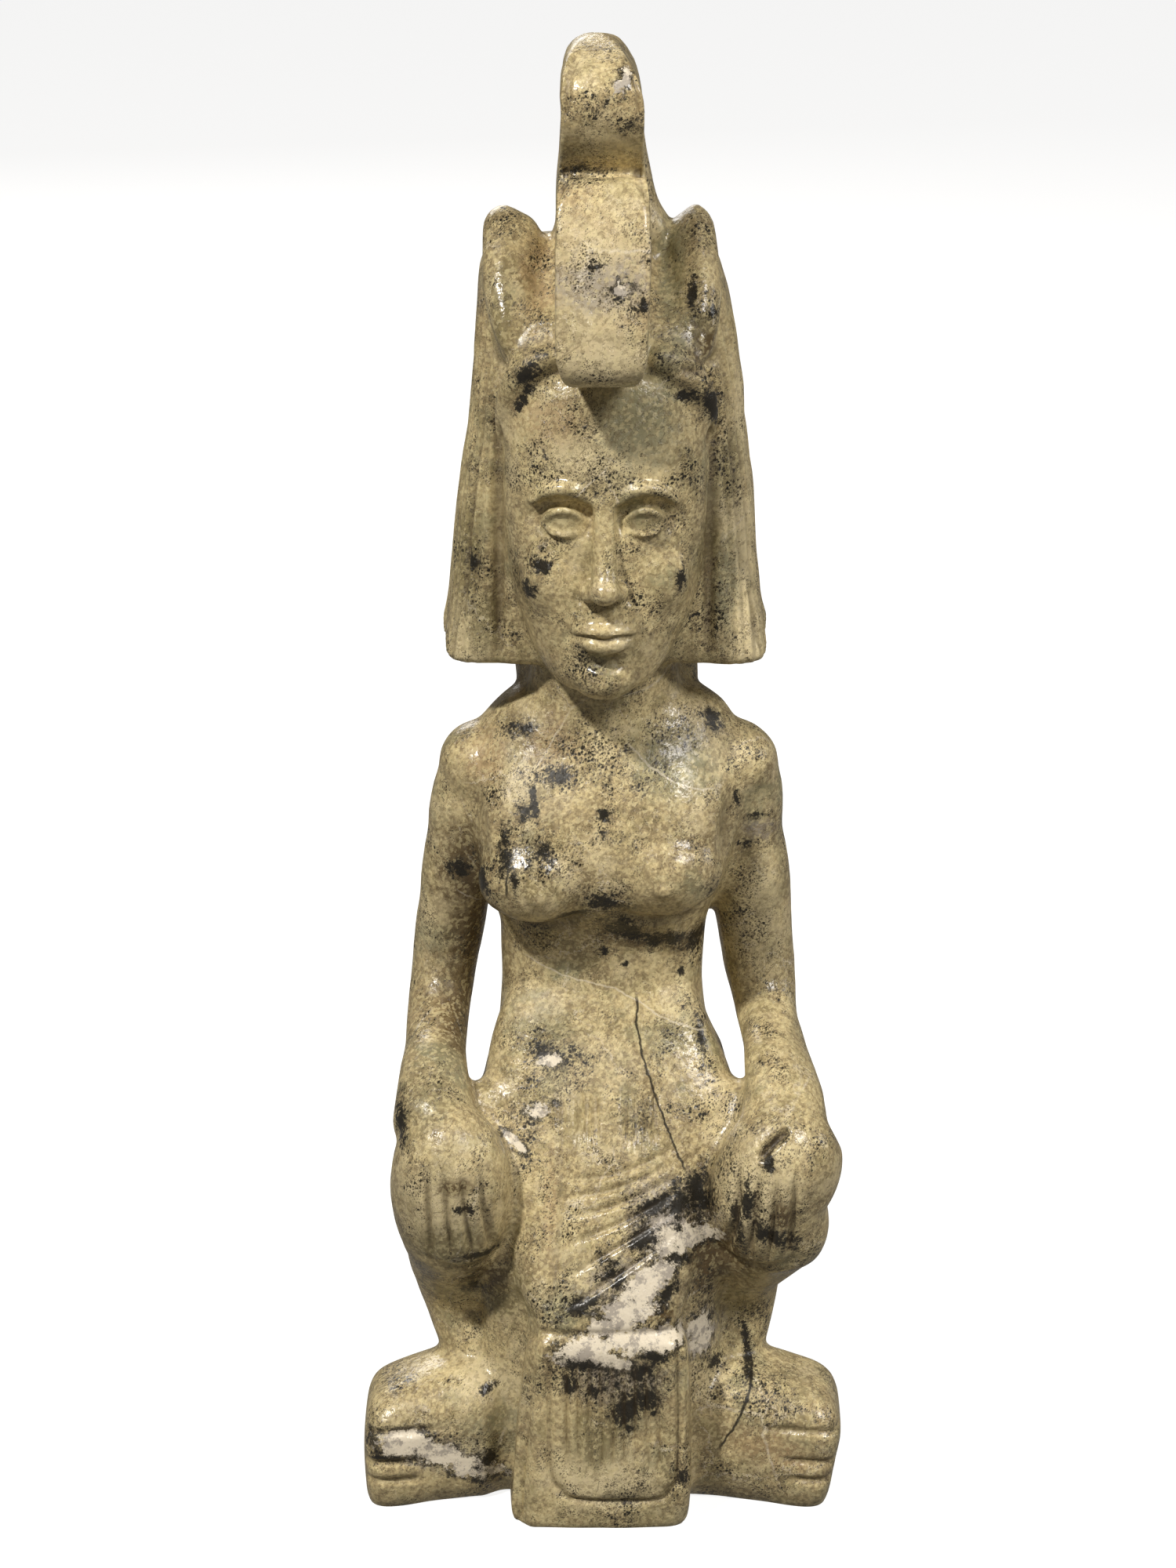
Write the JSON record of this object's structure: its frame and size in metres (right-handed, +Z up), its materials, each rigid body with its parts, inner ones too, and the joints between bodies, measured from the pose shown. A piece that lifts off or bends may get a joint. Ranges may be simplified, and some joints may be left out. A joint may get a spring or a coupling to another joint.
{
  "type": "stone goddess figurine",
  "caption": "Carved and polished stone figurine of a seated goddess with hands on her knees, a long headcloth and a tall serpent crest, standing on its own flat underside.",
  "frame": {"origin": "on the floor, under the middle of the figurine's box", "axes": "+Z up along her height; she faces -Y; +X is towards her left hand"},
  "size_m": [0.0994, 0.0792, 0.3001],
  "materials": {
    "polished_stone": "polished serpentine, mottled olive, straw and grey-green, with dark specks and white veins"
  },
  "bodies": {
    "root": {"goddess_figurine": "polished_stone"}
  },
  "joints": []
}
